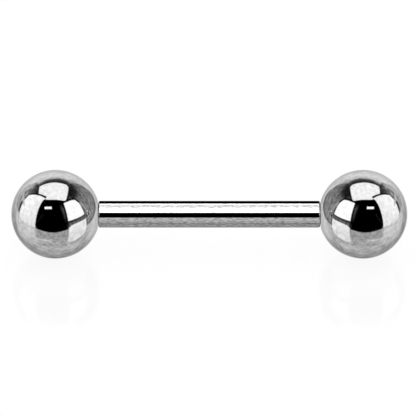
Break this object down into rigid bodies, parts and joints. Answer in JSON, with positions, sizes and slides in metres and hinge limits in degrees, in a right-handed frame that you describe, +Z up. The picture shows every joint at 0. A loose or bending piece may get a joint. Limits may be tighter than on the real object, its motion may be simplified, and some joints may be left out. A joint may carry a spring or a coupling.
{
  "type": "straight barbell, body jewellery",
  "caption": "Polished steel straight barbell: a slim round bar with a ball screwed onto the threaded post at each end.",
  "frame": {"origin": "middle of the bar, on its axis", "axes": "+X along the bar from the left ball to the right ball, +Z up from the surface that the balls rest on"},
  "size_m": [0.0178, 0.004, 0.004],
  "materials": {
    "bar_steel": "surgical steel, drawn and mirror polished",
    "ball_steel": "surgical steel, mirror polished"
  },
  "bodies": {
    "bar": {"bar": "bar_steel"},
    "ball_left": {"ball_left": "ball_steel"},
    "ball_right": {"ball_right": "ball_steel"}
  },
  "joints": [
    {"name": "ball_left_unscrew", "type": "slide", "parent": "bar", "child": "ball_left", "axis": [-1, 0, 0], "range_m": [0, 0.004]},
    {"name": "ball_right_unscrew", "type": "slide", "parent": "bar", "child": "ball_right", "axis": [1, 0, 0], "range_m": [0, 0.004]}
  ]
}
